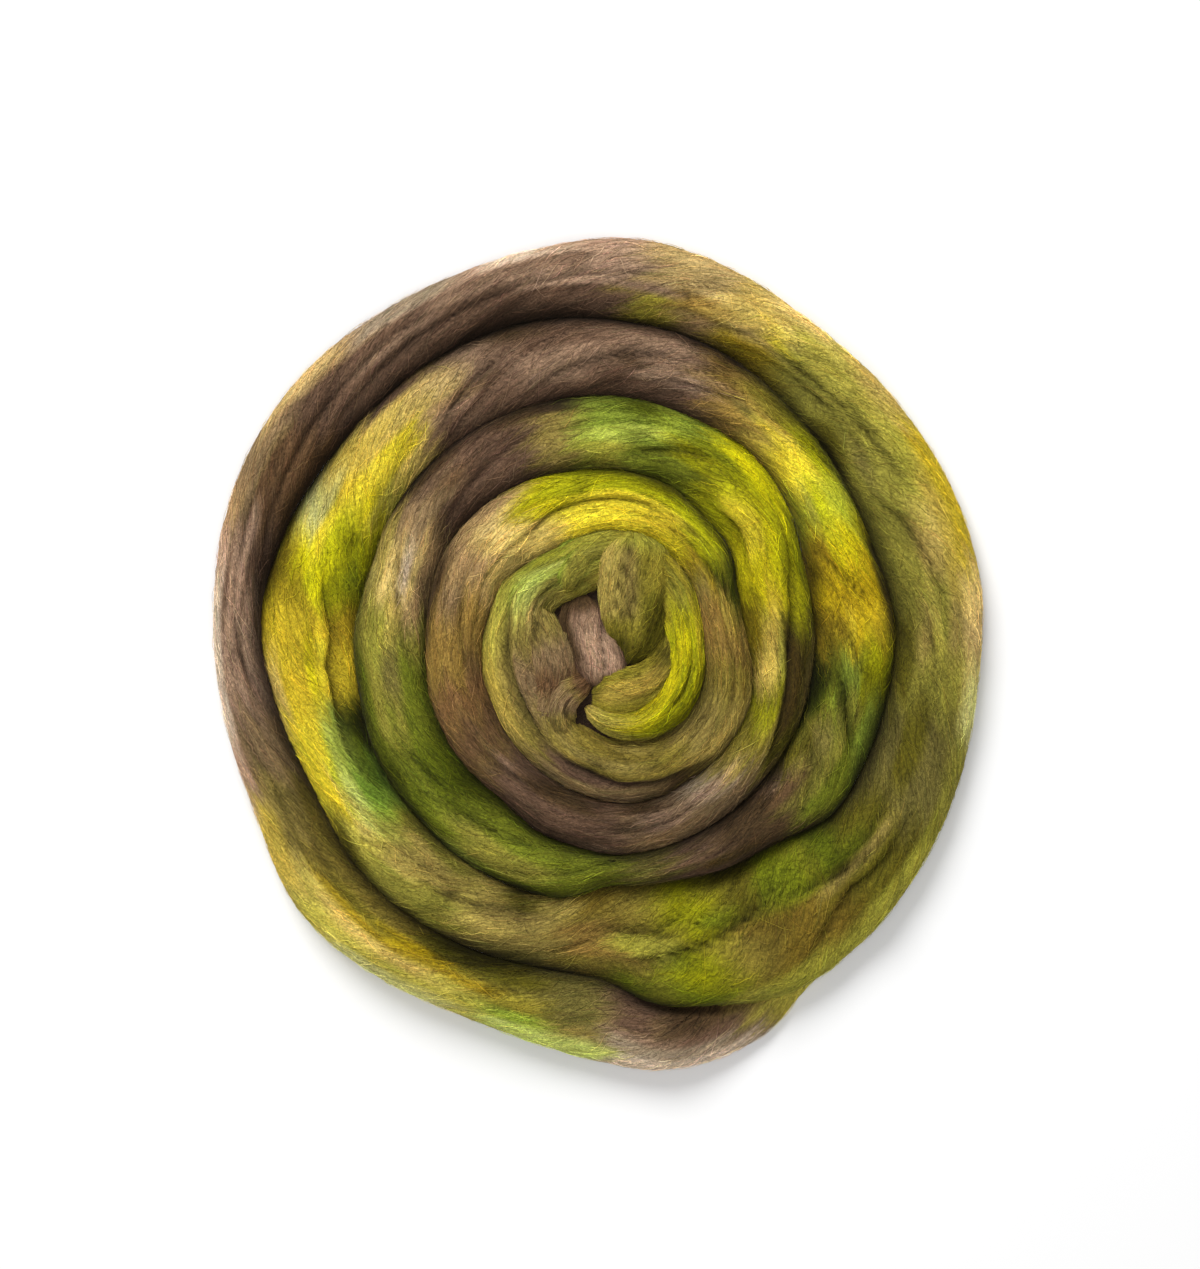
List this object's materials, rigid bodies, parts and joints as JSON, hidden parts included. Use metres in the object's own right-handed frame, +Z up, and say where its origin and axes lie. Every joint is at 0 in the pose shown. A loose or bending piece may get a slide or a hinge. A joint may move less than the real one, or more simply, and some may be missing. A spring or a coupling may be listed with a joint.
{
  "type": "wool roving coil",
  "caption": "Length of soft dyed wool roving wound into a flat spiral coil, its outer end tucked under and its inner end hooked at the core, for spinning or felting.",
  "frame": {"origin": "middle of the coil's outline, on the surface that the coil lies on", "axes": "+Z up out of the coil's flat side; +Y towards the top of the picture; +X to its right"},
  "size_m": [0.383, 0.4146, 0.0388],
  "materials": {
    "dyed_wool": "matt combed wool, hand dyed in green, lime, gold and mauve-brown"
  },
  "bodies": {
    "root": {"wool_roving": "dyed_wool"}
  },
  "joints": []
}
